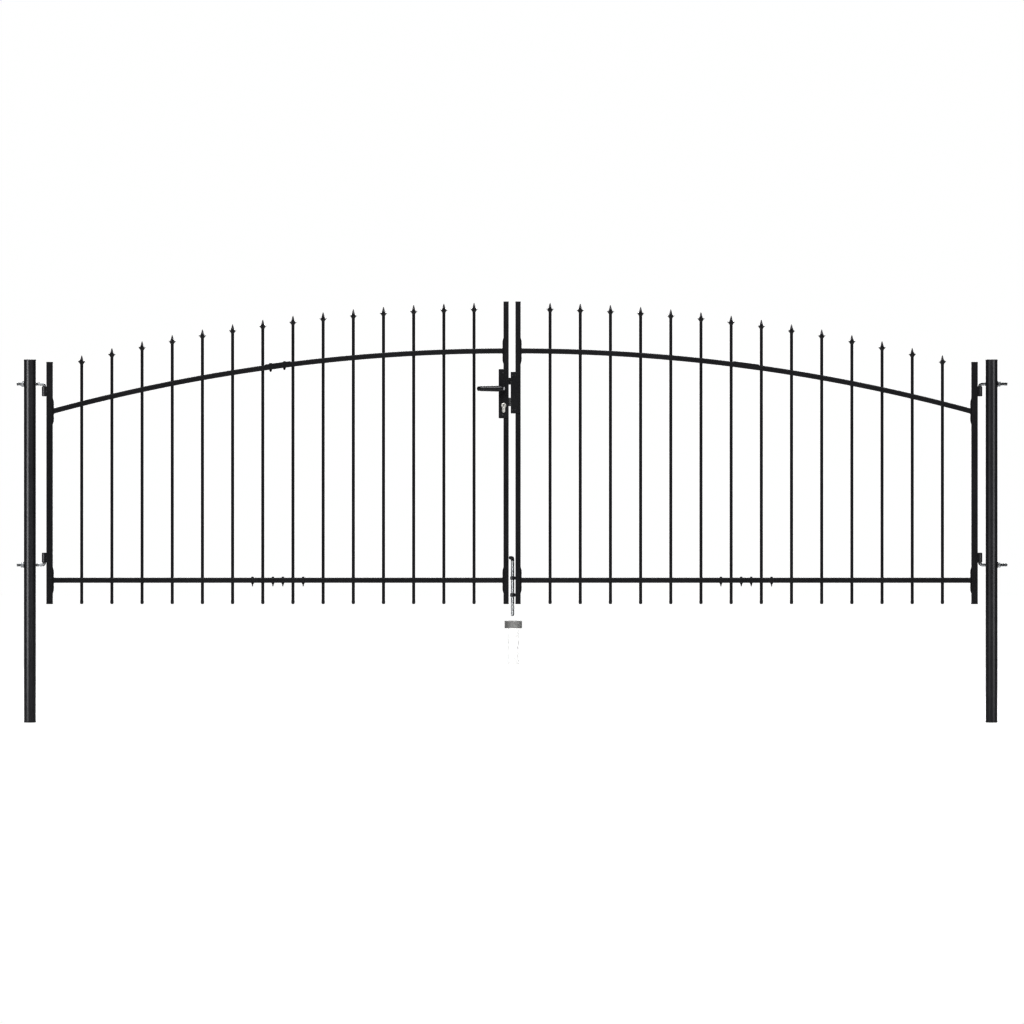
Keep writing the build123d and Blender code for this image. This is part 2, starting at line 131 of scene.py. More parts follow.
# %% Patterns
class Finish(NodeTree):
    """A material with a few patterns that are named for what they do."""

    def __init__(self, name):
        self.material = bpy.data.materials.new(name)
        super().__init__(self.material)
        self.place = self.add("ShaderNodeTexCoord", output="Object")

    def noise(self, size, detail=2.0, squeeze=(1, 1, 1)):
        """Soft grey blotches, each about size metres across, from 0 to 1. A small squeeze draws them out."""
        place = self.add("ShaderNodeMapping", inputs={"Vector": self.place, "Scale": squeeze})
        return self.add("ShaderNodeTexNoise", inputs={"Vector": place, "Scale": 1 / size, "Detail": detail})

    def mix(self, share, first, second):
        return self.add(
            "ShaderNodeMix", {"data_type": "RGBA"}, {0: share, 6: (*first, 1), 7: (*second, 1)}, output=2
        )

    def bump(self, height, depth, below=None):
        """Raises the surface by up to depth metres where height is 1."""
        sockets = {"Height": height, "Distance": depth, "Strength": 1.0}
        if below is not None:
            sockets["Normal"] = below
        return self.add("ShaderNodeBump", inputs=sockets)

    def shade(self, **sockets):
        named = {name.replace("_", " "): value for name, value in sockets.items()}
        surface = self.add("ShaderNodeBsdfPrincipled", inputs=named)
        self.add("ShaderNodeOutputMaterial", inputs={"Surface": surface})
        return self.material


# %% [markdown]
# ## Black powder coat
# Powder is blown on dry and baked, so it flows into a skin with a faint orange peel: soft dimples a
# millimetre or two across. A flat black with one roughness would look like plastic. Two bumps, a wide one
# for the peel and a fine one for the grain, break up the highlights, and the gloss drifts a little.


# %% Powder coat
def powder_coat():
    finish = Finish("black_powder_coat")
    peel = finish.noise(2.2 * mm, detail=1.0)
    grain = finish.noise(0.5 * mm, detail=2.0)
    drift = finish.noise(160 * mm, detail=3.0)
    skin = finish.bump(grain, 0.006 * mm, below=finish.bump(peel, 0.03 * mm))
    return finish.shade(
        Base_Color=finish.mix(drift, (0.017, 0.017, 0.019), (0.034, 0.034, 0.036)),
        Roughness=0.2 + 0.08 * drift + 0.06 * grain,
        Specular_IOR_Level=0.42,
        Normal=skin,
    )


# %% [markdown]
# ## Black plastic
# Caps and feet are moulded. Moulded plastic is duller than the coat and has an even spark-eroded grain.


# %% Moulded plastic
def moulded_plastic():
    finish = Finish("black_moulded_plastic")
    grain = finish.noise(0.7 * mm, detail=3.0)
    drift = finish.noise(30 * mm)
    return finish.shade(
        Base_Color=finish.mix(drift, (0.02, 0.02, 0.022), (0.04, 0.04, 0.042)),
        Roughness=0.3 + 0.12 * grain,
        Specular_IOR_Level=0.4,
        Normal=finish.bump(grain, 0.02 * mm),
    )


# %% [markdown]
# ## Zinc, nickel and bare steel
# Zinc plate is a bright, slightly blue metal with cloudy patches. Nickel on the key cylinder is warmer and
# was turned, so its scratches are short. The bolts of the lock are blackened steel, polished where they
# slide. All three are metal, so the colour sits in the reflection and roughness does most of the work.


# %% Metals
def bright_zinc():
    finish = Finish("bright_zinc")
    cloud = finish.noise(14 * mm, detail=4.0)
    drawn = finish.noise(0.5 * mm, squeeze=(1, 1, 0.04))
    return finish.shade(
        Base_Color=finish.mix(cloud, (0.34, 0.352, 0.372), (0.46, 0.46, 0.453)),
        Metallic=1.0,
        Roughness=0.46 + 0.16 * cloud + 0.08 * drawn,
        Normal=finish.bump(drawn, 0.012 * mm),
    )


def turned_nickel():
    finish = Finish("turned_nickel")
    cloud = finish.noise(9 * mm, detail=3.0)
    scratch = finish.noise(0.35 * mm, squeeze=(0.15, 1, 1))
    return finish.shade(
        Base_Color=finish.mix(cloud, (0.64, 0.63, 0.605), (0.75, 0.75, 0.732)),
        Metallic=1.0,
        Roughness=0.2 + 0.12 * scratch,
        Normal=finish.bump(scratch, 0.008 * mm),
    )


def blackened_steel():
    finish = Finish("blackened_steel")
    cloud = finish.noise(6 * mm, detail=4.0)
    rub = finish.noise(0.6 * mm, squeeze=(0.06, 1, 1))
    return finish.shade(
        Base_Color=finish.mix(cloud * rub, (0.06, 0.06, 0.063), (0.17, 0.17, 0.17)),
        Metallic=0.2,
        Roughness=0.42 + 0.16 * rub,
        Normal=finish.bump(rub, 0.012 * mm),
    )


# %% [markdown]
# ## The ground socket's grey collar and pale tube
# The collar is a dull grey casting with a sandy skin. The tube below it is pale plastic pipe, drawn through
# a die, so its faint lines run along its length.


# %% Collar and pipe
def sandy_casting():
    finish = Finish("sandy_grey_casting")
    sand = finish.noise(1.1 * mm, detail=4.0)
    stain = finish.noise(18 * mm, detail=4.0)
    return finish.shade(
        Base_Color=finish.mix(stain * 0.7 + sand * 0.3, (0.1, 0.1, 0.1), (0.26, 0.26, 0.255)),
        Roughness=0.6 + 0.2 * sand,
        Normal=finish.bump(sand, 0.12 * mm),
    )


def pale_pipe():
    finish = Finish("pale_plastic_pipe")
    lines = finish.noise(0.8 * mm, squeeze=(1, 1, 0.01))
    cloud = finish.noise(40 * mm)
    return finish.shade(
        Base_Color=finish.mix(cloud, (0.9, 0.9, 0.89), (0.94, 0.94, 0.94)),
        Roughness=0.34 + 0.1 * lines,
        Normal=finish.bump(lines, 0.015 * mm),
    )


finishes = {
    "black_coat": powder_coat(),
    "black_plastic": moulded_plastic(),
    "zinc": bright_zinc(),
    "nickel": turned_nickel(),
    "dark_steel": blackened_steel(),
    "grey_cast": sandy_casting(),
    "white_plastic": pale_pipe(),
}
for node, cad_object in frame["nodes"].items():
    cad_object.data.materials.clear()
    cad_object.data.materials.append(finishes[slot_of_node[node]])
print("finishes:", ", ".join(finishes))

# %% [markdown]
# ## Tools for the pieces
# Each piece starts as a bmesh. A few operators do nearly all the work: a spin turns an outline, an extrude
# runs a section along a line, a bevel rounds an edge. `settle` closes a piece: it merges doubles, turns the
# normals outwards, marks sharp edges and hangs the piece on its body.


# %% Building tools
def settle(bm, name, body, slot, stands_for=(), crease=38):
    bmesh.ops.remove_doubles(bm, verts=bm.verts, dist=0.002 * mm)
    bmesh.ops.recalc_face_normals(bm, faces=bm.faces)
    mesh = bpy.data.meshes.new(name)
    bm.to_mesh(mesh)
    bm.free()
    mesh.shade_smooth()
    mesh.set_sharp_from_angle(angle=math.radians(crease))
    mesh.materials.append(finishes[slot])
    piece = bpy.data.objects.new(name, mesh)
    bpy.context.scene.collection.objects.link(piece)
    piece.modifiers.new("even_shading", "WEIGHTED_NORMAL").keep_sharp = True
    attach(piece, body)
    if stands_for:
        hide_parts(*stands_for)
    print(f"{name}: {len(mesh.polygons)} faces on {body}")


def soften(bm, geom, width, segments, affect="EDGES"):
    bmesh.ops.bevel(
        bm, geom=list(geom), offset=width, offset_type="OFFSET", affect=affect, segments=segments,
        profile=0.5, material=-1, clamp_overlap=True,
    )


def block(bm, low, high):
    """A box between two corners. Returns its edges."""
    low, high = Vector(low), Vector(high)
    seat = Matrix.Translation((low + high) / 2) @ Matrix.Diagonal((*(high - low), 1))
    made = bmesh.ops.create_cube(bm, size=1, matrix=seat)
    return {edge for vert in made["verts"] for edge in vert.link_edges}


def along(edges, axis):
    """The edges that run along an axis: 0, 1 or 2."""
    return [e for e in edges if abs((e.verts[1].co - e.verts[0].co).normalized()[axis]) > 0.99]


def turned(bm, outline, middle, steps, axis=(0, 0, 1)):
    """Spins an outline of (radius, height) points about an axis through middle. Returns the vertices."""
    axis = Vector(axis)
    out = axis.orthogonal().normalized()
    middle = Vector(middle)
    count = len(bm.verts)
    verts = [bm.verts.new(middle + out * radius + axis * height) for radius, height in outline]
    edges = [bm.edges.new(pair) for pair in zip(verts, verts[1:])]
    bmesh.ops.spin(
        bm, geom=verts + edges, cent=middle, axis=axis, angle=math.tau, steps=steps, use_merge=True
    )
    bm.verts.ensure_lookup_table()
    return bm.verts[count:]


def trim(bm, count, place, way):
    """Cuts all but the first count vertices by a plane, drops the outer side and closes the cut."""
    bm.verts.ensure_lookup_table()
    verts = bm.verts[count:]
    edges = {e for v in verts for e in v.link_edges}
    faces = {f for v in verts for f in v.link_faces}
    cut = bmesh.ops.bisect_plane(
        bm, geom=[*verts, *edges, *faces], plane_co=place, plane_no=way, clear_outer=True
    )
    rim = [g for g in cut["geom_cut"] if isinstance(g, bmesh.types.BMEdge)]
    bmesh.ops.contextual_create(bm, geom=rim)


def in_mm(*points):
    """An outline that is written in millimetres."""
    return [(radius * mm, height * mm) for radius, height in points]


# %% [markdown]
# ## Posts
# Each post is a round steel tube with a plastic cap in the top and a plug in the foot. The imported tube's few
# sides would show as stripes in the long highlight, so it is turned again with many.

# %% Posts and their caps
sides = ("left", "right")
leaf_ends = ("hinge", "latch")
post_sides = 96
post_wall = 1.5 * mm
plug_gap = 0.2 * mm
cap_plate = 4 * mm
cap_edge = 1.5 * mm
for side in sides:
    low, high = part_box(f"{side}_post")
    middle = (low + high) / 2
    radius = (high.y - low.y) / 2
    bore = radius - post_wall
    height = high.z - low.z
    tube = bmesh.new()
    outline = [(bore, 0), (radius, 0), (radius, height), (bore, height), (bore, 0)]
    turned(tube, outline, (middle.x, middle.y, low.z), post_sides)
    settle(tube, f"{side}_post_tube", "posts", "black_coat", [f"{side}_post"])

    plug = bore - plug_gap
    for end, up in (("cap", 1), ("foot", -1)):
        low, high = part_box(f"{side}_post_{end}")
        rim = (high.x - low.x) / 2
        depth = high.z - low.z
        shoulder = depth - cap_plate
        outline = [(0, 0), (plug - cap_edge, 0), (plug, cap_edge), (plug, shoulder), (rim, shoulder)]
        for angle in map(math.radians, (0, 30, 60, 90)):
            outline.append((rim + cap_edge * (math.cos(angle) - 1), depth + cap_edge * (math.sin(angle) - 1)))
        outline += [(rim * 0.5, depth), (0, depth)]
        cap = bmesh.new()
        base = (middle.x, middle.y, low.z if up > 0 else high.z)
        turned(cap, [(r, up * h) for r, h in outline], base, post_sides)
        settle(cap, f"{side}_post_{end}_moulding", "posts", "black_plastic", [f"{side}_post_{end}"])

# %% [markdown]
# ## Stiles
# The upright square tubes at the sides of a leaf. Square tube is rolled from round, so its corners have a
# radius of about the wall's thickness or a little more: a bevel along the four long edges, and no other.

# %% Stile tubes
corner = 2.0 * mm
for side in sides:
    for stile in leaf_ends:
        node = f"{side}_{stile}_stile"
        low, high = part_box(node)
        spans = [(low.z, high.z)]
        if stile == "latch":
            box_low, box_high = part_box("lock_case" if side == "left" else "keeper")
            spans = [(low.z, box_low.z), (box_high.z, high.z)]
        tube = bmesh.new()
        for bottom, top in spans:
            edges = block(tube, (low.x, low.y, bottom), (high.x, high.y, top))
            soften(tube, along(edges, 2), corner, segments=4)
        settle(tube, f"{side}_{stile}_stile_tube", f"{side}_leaf", "black_coat", [node])

# %% [markdown]
# ## Rails, pickets and end plates
# A half panel is two rails with seven round pickets through them. The bottom rail is straight. The top rail
# follows an arc that lies level at the latch stile, so its section is spun about the arc's centre, which is
# exact, and then cut upright at both ends, as the real rail is sawn.

# %% The arc of the top rail
leaf_span = 1887 * mm
arch_rise = 253 * mm
arch_top_height = 1046 * mm
bottom_rail_height = 98 * mm
rail_half = 10 * mm
picket_radius = 5.5 * mm
picket_count = 14
picket_rise = 200 * mm
arch_radius = (leaf_span**2 + arch_rise**2) / (2 * arch_rise)
leaf_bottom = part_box("left_stile_caps")[0].z
bottom_rail_z = leaf_bottom + bottom_rail_height
arch_top_z = leaf_bottom + arch_top_height
inward = {"left": 1, "right": -1}


def stile_x(side, stile):
    low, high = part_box(f"{side}_{stile}_stile")
    return (low.x + high.x) / 2


def arch_z(side, x):
    """Height of the top rail's centre line at x."""
    return arch_top_z - arch_radius + math.sqrt(arch_radius**2 - (stile_x(side, "latch") - x) ** 2)


def arch_slope(side, x):
    """Rise of the top rail for each metre along X."""
    away = stile_x(side, "latch") - x
    return away / math.sqrt(arch_radius**2 - away**2)


def arch_stretch(side, x):
    """How much longer an upright cut through the sloping rail is than a square one."""
    return math.sqrt(1 + arch_slope(side, x) ** 2)


def picket_places(side):
    low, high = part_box(f"{side}_spear_points")
    collar = (high.y - low.y) / 2
    first, last = low.x + collar, high.x - collar
    return [first + (last - first) * i / (picket_count - 1) for i in range(picket_count)]


print("arc radius", round(arch_radius, 3), "m, first picket at", round(picket_places("left")[0], 4))


# %% Rails
def arched_rail(bm, side, x_low, x_high):
    """A square section spun along the arc, a little too far, then cut upright at both ends."""
    centre = Vector((stile_x(side, "latch"), 0, arch_top_z - arch_radius))
    spare = 12 * mm
    angles = [math.asin((x - centre.x) / arch_radius) for x in (x_low - spare, x_high + spare)]
    start = Matrix.Translation(centre) @ Matrix.Rotation(angles[0], 4, "Y")
    upright = Matrix.Rotation(math.radians(90), 4, "Y")
    count = len(bm.verts)
    section = bmesh.ops.create_grid(
        bm, x_segments=1, y_segments=1, size=rail_half,
        matrix=start @ Matrix.Translation((0, 0, arch_radius)) @ upright,
    )
    soften(bm, section["verts"], corner, segments=4, affect="VERTICES")
    bm.verts.ensure_lookup_table()
    face = bm.verts[-1].link_faces[0]
    bmesh.ops.spin(
        bm, geom=[face, *face.edges, *face.verts], cent=centre, axis=(0, 1, 0),
        angle=angles[1] - angles[0], steps=24,
    )
    for x, way in ((x_low, -1), (x_high, 1)):
        trim(bm, count, (x, 0, 0), (way, 0, 0))


def end_plate(bm, x_seat, x_face, middle_z):
    """A plate at a rail's end: its long face leans in at the top and the foot."""
    plate_height = 108 * mm
    plate_taper = 13 * mm
    x_low, x_high = sorted((x_seat, x_face))
    low, high = middle_z - plate_height / 2, middle_z + plate_height / 2
    edges = block(bm, (x_low, -rail_half, low), (x_high, rail_half, high))
    for vert in {v for e in edges for v in e.verts}:
        if abs(vert.co.x - x_face) < 0.1 * mm:
            vert.co.z += plate_taper if vert.co.z < middle_z else -plate_taper
    soften(bm, edges, 0.8 * mm, segments=2)


plate_thickness = 4 * mm


def panel_ends(side, half):
    """X where a half panel meets the stile, X of its plate's face and of its far end, and the way it runs."""
    low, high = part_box(f"{side}_{half}_side_panel")
    way = inward[side] if half == "hinge" else -inward[side]
    seat, far_end = (low.x, high.x) if way > 0 else (high.x, low.x)
    return seat, seat + way * plate_thickness, far_end, way


for side in sides:
    for half in leaf_ends:
        seat, face, far_end, _ = panel_ends(side, half)
        x_low, x_high = sorted((face, far_end))
        rails = bmesh.new()
        arched_rail(rails, side, x_low, x_high)
        edges = block(rails, (x_low, -rail_half, bottom_rail_z - rail_half),
                      (x_high, rail_half, bottom_rail_z + rail_half))
        soften(rails, along(edges, 0), corner, segments=4)
        for rail_z in (bottom_rail_z, arch_z(side, seat)):
            end_plate(rails, seat, face, rail_z)
        node = f"{side}_{half}_side_panel"
        settle(rails, f"{side}_{half}_side_rails", f"{side}_leaf", "black_coat", [node])

# %% [markdown]
# ## Pickets and spear points
# The pickets are thin round tubes. On each sits a spear point: a taper up to a sharp collar, a neck and a
# slim tip. It is one turned outline, spun on every picket, with the collar's edge and the tip eased by a
# fraction of a millimetre, because a real casting never has a true knife edge.

# %% Pickets
spear_shares = [
    (0.0, 0.0), (0.367, 0.0), (0.40, 0.03), (0.62, 0.17), (0.86, 0.268), (0.985, 0.3), (1.0, 0.312),
    (0.985, 0.324), (0.80, 0.375), (0.55, 0.452), (0.40, 0.51), (0.325, 0.55), (0.27, 0.64), (0.16, 0.83),
    (0.05, 0.985), (0.0, 1.0),
]
spear_height = 38.5 * mm
spear_radius = 15 * mm
foot_height = 14 * mm
foot_radius = picket_radius + 0.6 * mm
foot_ease = 0.4 * mm
foot_outline = [
    (0, 0), (foot_radius * 0.55, 0), (foot_radius * 0.85, 1.4 * mm), (foot_radius, 4 * mm),
    (foot_radius, foot_height - foot_ease), (foot_radius - foot_ease, foot_height), (0, foot_height),
]
foot_top = leaf_bottom + foot_height
spear_outline = [(r * spear_radius, h * spear_height) for r, h in spear_shares]
for side in sides:
    pickets, spears, feet = bmesh.new(), bmesh.new(), bmesh.new()
    for x in picket_places(side):
        top = arch_z(side, x) + picket_rise - spear_height
        bmesh.ops.create_cone(
            pickets, cap_ends=True, segments=24, radius1=picket_radius, radius2=picket_radius,
            depth=top - foot_top, matrix=Matrix.Translation((x, 0, (foot_top + top) / 2)),
        )
        turned(spears, spear_outline, (x, 0, top), 32)
        turned(feet, foot_outline, (x, 0, leaf_bottom), 24)
    settle(pickets, f"{side}_pickets", f"{side}_leaf", "black_coat")
    settle(spears, f"{side}_spears", f"{side}_leaf", "black_coat", [f"{side}_spear_points"])
    settle(feet, f"{side}_picket_feet", f"{side}_leaf", "black_plastic", [f"{side}_picket_caps"])

# %% [markdown]
# ## Bent bars and threads
# Hinge bolts, levers and the drop rod are all bar that was bent cold. The tool does the same: a section is
# pushed forward along a run, turned about a centre for a bend, and rounded off at the end. A thread is a
# short outline of one groove, spun for many turns while it moves along, and cut square at both ends.


# %% Bar and thread tools
class Bar:
    """A round or oval section pushed through runs and bends. The front face is where it grows."""

    def __init__(self, bm, start, heading, half_across, half_up=None, across=(1, 0, 0), sides=32):
        heading, across = Vector(heading).normalized(), Vector(across)
        up = heading.cross(across)
        turn = Matrix((across * half_across, up * (half_up or half_across), heading)).transposed().to_4x4()
        seat = Matrix.Translation(start) @ turn
        made = bmesh.ops.create_circle(bm, cap_ends=True, radius=1, segments=sides, matrix=seat)
        self.bm = bm
        self.front = made["verts"][0].link_faces[0]
        self.heading = heading

    def centre(self):
        return self.front.calc_center_median()

    def run(self, length, scale=1.0):
        made = bmesh.ops.extrude_face_region(self.bm, geom=[self.front])["geom"]
        self.front = next(g for g in made if isinstance(g, bmesh.types.BMFace))
        verts = list(self.front.verts)
        bmesh.ops.translate(self.bm, verts=verts, vec=self.heading * length)
        about = Matrix.Translation(-self.centre())
        bmesh.ops.scale(self.bm, verts=verts, vec=(scale, scale, scale), space=about)

    def bend(self, towards, radius, steps=14):
        """Turns the bar a right angle."""
        towards = Vector(towards).normalized()
        axis = self.heading.cross(towards)
        angle = math.radians(90)
        made = bmesh.ops.spin(
            self.bm, geom=[self.front, *self.front.edges, *self.front.verts],
            cent=self.centre() + towards * radius, axis=axis, angle=angle, steps=steps,
        )
        self.front = next(g for g in made["geom_last"] if isinstance(g, bmesh.types.BMFace))
        self.heading = Matrix.Rotation(angle, 3, axis) @ self.heading

    def dome(self, length):
        """Rounds the end off over a length."""
        steps = 5
        before = (0.0, 1.0)
        for i in range(1, steps + 1):
            angle = math.radians(86 * i / steps)
            along_now, size = math.sin(angle), math.cos(angle)
            self.run(length * (along_now - before[0]), size / before[1])
            before = (along_now, size)


def thread(bm, start, heading, length, radius, pitch=1.75 * mm, turn_steps=20):
    """An outside thread from start along heading."""
    heading, start = Vector(heading).normalized(), Vector(start)
    out = heading.orthogonal().normalized()
    root = radius - 0.55 * pitch
    groove = [(radius, 0), (radius, 0.14), (root, 0.5), (root, 0.64), (radius, 1)]
    count = len(bm.verts)
    verts = [bm.verts.new(start + out * r + heading * (share - 1.5) * pitch) for r, share in groove]
    edges = [bm.edges.new(pair) for pair in zip(verts, verts[1:])]
    turns = math.ceil(length / pitch) + 3
    bmesh.ops.spin(
        bm, geom=verts + edges, cent=start, axis=heading, angle=math.tau * turns, steps=turn_steps * turns,
        dvec=heading * pitch / turn_steps,
    )
    bm.verts.ensure_lookup_table()
    bmesh.ops.remove_doubles(bm, verts=bm.verts[count:], dist=0.002 * mm)
    for place, way in ((start, -heading), (start + heading * length, heading)):
        trim(bm, count, place, way)


def hexagon(bm, seat, heading, across, height):
    """A hexagon head: its corners are cut back by a cone, as a nut's are on the lathe."""
    heading = Vector(heading).normalized()
    turn = heading.to_track_quat("Z", "Y").to_matrix().to_4x4()
    corner_radius = across / math.sqrt(3)
    made = bmesh.ops.create_cone(
        bm, cap_ends=True, segments=6, radius1=corner_radius, radius2=corner_radius, depth=height,
        matrix=Matrix.Translation(Vector(seat) + heading * height / 2) @ turn,
    )
    verts = made["verts"]
    top = [v for v in verts if (v.co - Vector(seat)).dot(heading) > height / 2]
    face = next(f for f in top[0].link_faces if set(f.verts) == set(top))
    bmesh.ops.subdivide_edges(bm, edges=list(face.edges), cuts=7)
    middle = Vector(seat) + heading * height
    flat = across / 2 * 0.96
    for vert in face.verts:
        vert.co -= heading * max(0, (vert.co - middle).length - flat) * 0.58
    bmesh.ops.inset_region(bm, faces=[face], thickness=across * 0.02, depth=0)
    for vert in face.verts:
        spoke = vert.co - middle
        spoke -= heading * spoke.dot(heading)
        vert.co = middle + spoke.normalized() * flat
    return face


def washer_hexagon(bm, seat, heading, washer, lift, across, height, steps=24):
    """A hexagon on a round washer, with all sizes in millimetres. Returns the hexagon's end face."""
    heading = Vector(heading)
    turned(bm, in_mm(*washer), seat, steps, axis=heading)
    return hexagon(bm, Vector(seat) + heading * lift * mm, heading, across * mm, height * mm)


# %% [markdown]
# ## Hinge bolts and nuts
# Each leaf hangs on two bolts bent to an L. The upper pin points down and the lower one up, so nobody can
# lift the leaf off. The straight part is threaded through the post, and a flanged nut sets the gap.

# %% Hinge bolts
bolt_radius = 6 * mm
bend_radius = 10 * mm
plain_length = 14 * mm
pin_chamfer = 1.5 * mm


def bolt_height(side, level):
    """Height of a hinge bolt's straight part: the upper pin hangs from it, the lower one stands on it."""
    low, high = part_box(f"{side}_{level}_hinge_bolt")
    return high.z - bolt_radius if level == "upper" else low.z + bolt_radius


for side, way in inward.items():
    for level, pin_way in (("upper", -1), ("lower", 1)):
        node = f"{side}_{level}_hinge_bolt"
        low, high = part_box(node)
        axis_x = high.x - bolt_radius if way > 0 else low.x + bolt_radius
        tail_x = low.x if way > 0 else high.x
        bolt_z = bolt_height(side, level)
        pin_length = (high.z - low.z) - bolt_radius - bend_radius
        neck_x = axis_x - way * bend_radius - way * plain_length
        bolt = bmesh.new()
        thread(bolt, (tail_x, 0, bolt_z), (way, 0, 0), abs(neck_x - tail_x), bolt_radius)
        rod = Bar(bolt, (neck_x, 0, bolt_z), (way, 0, 0), bolt_radius, across=(0, 1, 0))
        rod.run(plain_length)
        rod.bend((0, 0, pin_way), bend_radius)
        rod.run(pin_length - pin_chamfer)
        rod.run(pin_chamfer, 0.8)
        settle(bolt, f"{node}_threaded", "posts", "zinc", [node])

# %% Flanged nuts
nut_flange = [(6, 0), (12, 0), (12.5, 0.6), (12.5, 1.6), (11.3, 2.4), (9.54, 3.4), (6, 3.4)]
nut_lift, nut_across, nut_height = 3, 18, 10
nut_rim = 1.6 * mm
bore_chamfer = 0.7 * mm
for side, way in inward.items():
    nuts = bmesh.new()
    post_low, post_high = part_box(f"{side}_post")
    seat_x = post_low.x if way > 0 else post_high.x
    for level in ("upper", "lower"):
        seat = (seat_x, 0, bolt_height(side, level))
        face = washer_hexagon(nuts, seat, (-way, 0, 0), nut_flange, nut_lift, nut_across, nut_height, 40)
        bmesh.ops.inset_region(nuts, faces=[face], thickness=nut_rim, depth=0)
        bmesh.ops.inset_region(nuts, faces=[face], thickness=bore_chamfer, depth=-bore_chamfer)
    settle(nuts, f"{side}_flanged_nuts", "posts", "zinc", [f"{side}_hinge_nuts"])

# %% [markdown]
# ## Hinge barrels
# A barrel is a short thick tube on a web that is welded to the stile. A lathe leaves a small chamfer at both
# ends, and the web's edges are filled by a weld, so a bead runs down each side of it. The guides of the drop
# rod are made in the same way, so both come from one function.


# %% Barrels
def weld_bead(bm, start, end, radius, ripples, out):
    """A weld laid from start to end: a row of overlapping scales, each a little ahead of the last."""
    start, end = Vector(start), Vector(end)
    bead = Bar(bm, start, end - start, radius * 0.5, across=out, sides=10)
    step = (end - start).length / ripples
    bead.run(step * 0.3, 1.8)
    for i in range(ripples - 1):
        bead.run(step * 0.55, 1.12)
        bead.run(step * 0.45, 1 / 1.12)
    bead.run(step * 0.5, 0.5)


def welded_eye(bm, axis_x, face_x, bottom, bore, radius, height, lip, ease, web_half, web_start, web_inset,
               bead_radius, bead_inset, ripples):
    """A short tube on a web that meets a stile at face_x, with a weld down each side of the web."""
    outline = [
        (bore + lip, 0), (radius - ease, 0), (radius, ease), (radius, height - ease), (radius - ease, height),
        (bore + lip, height), (bore, height - lip), (bore, lip), (bore + lip, 0),
    ]
    turned(bm, outline, (axis_x, 0, bottom), 48)
    way = 1 if face_x > axis_x else -1
    x_low, x_high = sorted((axis_x + way * (bore + web_start), face_x))
    edges = block(bm, (x_low, -web_half, bottom + web_inset), (x_high, web_half, bottom + height - web_inset))
    soften(bm, along(edges, 0), 0.8 * mm, segments=2)
    for y in (-web_half, web_half):
        start, end = (face_x, y, bottom + bead_inset), (face_x, y, bottom + height - bead_inset)
        weld_bead(bm, start, end, bead_radius, ripples, (0, 1, 0))


barrel = dict(
    bore=bolt_radius + 0.15 * mm, radius=9.7 * mm, height=40 * mm, lip=0.5 * mm, ease=1.8 * mm,
    web_half=6 * mm, web_start=1.5 * mm, web_inset=0.4 * mm,
    bead_radius=2.2 * mm, bead_inset=2 * mm, ripples=11,
)
for side, way in inward.items():
    node = f"{side}_hinge_barrels"
    low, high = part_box(node)
    axis_x = low.x + barrel["radius"] if way > 0 else high.x - barrel["radius"]
    barrels = bmesh.new()
    for bottom in (low.z, high.z - barrel["height"]):
        welded_eye(barrels, axis_x, axis_x + way * barrel["radius"], bottom, **barrel)
    settle(barrels, f"{side}_barrels_welded", f"{side}_leaf", "black_coat", [node])

# %% [markdown]
# ## Caps on the stile ends
# Pressed-in caps of plastic close the square tubes. A moulded cap has no sharp edge anywhere: the corners
# follow the tube and the top is slightly pillowed, which two bevels of different width give.

# %% Stile caps
cap_rim = 0.5 * mm
cap_pillow = 1.2 * mm
for side in sides:
    caps = bmesh.new()
    cap_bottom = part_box(f"{side}_stile_caps")[0].z
    for stile in leaf_ends:
        low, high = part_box(f"{side}_{stile}_stile")
        cap_top = high.z + (low.z - cap_bottom)
        for bottom_z, top_z, outer_z in ((cap_bottom, low.z, cap_bottom), (high.z, cap_top, cap_top)):
            edges = block(caps, (low.x - cap_rim, low.y - cap_rim, bottom_z),
                          (high.x + cap_rim, high.y + cap_rim, top_z))
            soften(caps, along(edges, 2), corner, segments=4)
            rim_edges = [
                e for e in caps.edges
                if all(abs(v.co.z - outer_z) < 0.01 * mm for v in e.verts)
                and low.x - 2 * cap_rim < e.verts[0].co.x < high.x + 2 * cap_rim
            ]
            soften(caps, rim_edges, cap_pillow, segments=3)
    settle(caps, f"{side}_stile_cap_mouldings", f"{side}_leaf", "black_plastic", [f"{side}_stile_caps"])

# %% [markdown]
# ## Dressing a solid that is already right
# The lock, its bolts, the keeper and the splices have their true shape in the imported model. A copy of the
# mesh is merged, its flat faces are joined up again, and its outer edges get a small bevel: that alone
# catches the light the way a folded or milled edge does.

# %% Dressed copies
edge_widths = {
    "lock_case": 1.0, "keeper": 1.0, "latch_bolt": 0.5, "dead_bolt": 0.6, "lever_spindle": 0.4,
    "left_top_splice": 0.4, "right_top_splice": 0.4,
}
for node, width in edge_widths.items():
    bm = bmesh.new()
    bm.from_mesh(frame["nodes"][node].data)
    bmesh.ops.remove_doubles(bm, verts=bm.verts, dist=0.001 * mm)
    bmesh.ops.dissolve_limit(bm, angle_limit=math.radians(1), verts=bm.verts, edges=bm.edges)
    sharp = [e for e in bm.edges if e.is_manifold and e.is_convex and e.calc_face_angle() > math.radians(35)]
    soften(bm, sharp, width * mm, segments=2)
    settle(bm, f"{node}_dressed", body_of_node[node], slot_of_node[node], [node])
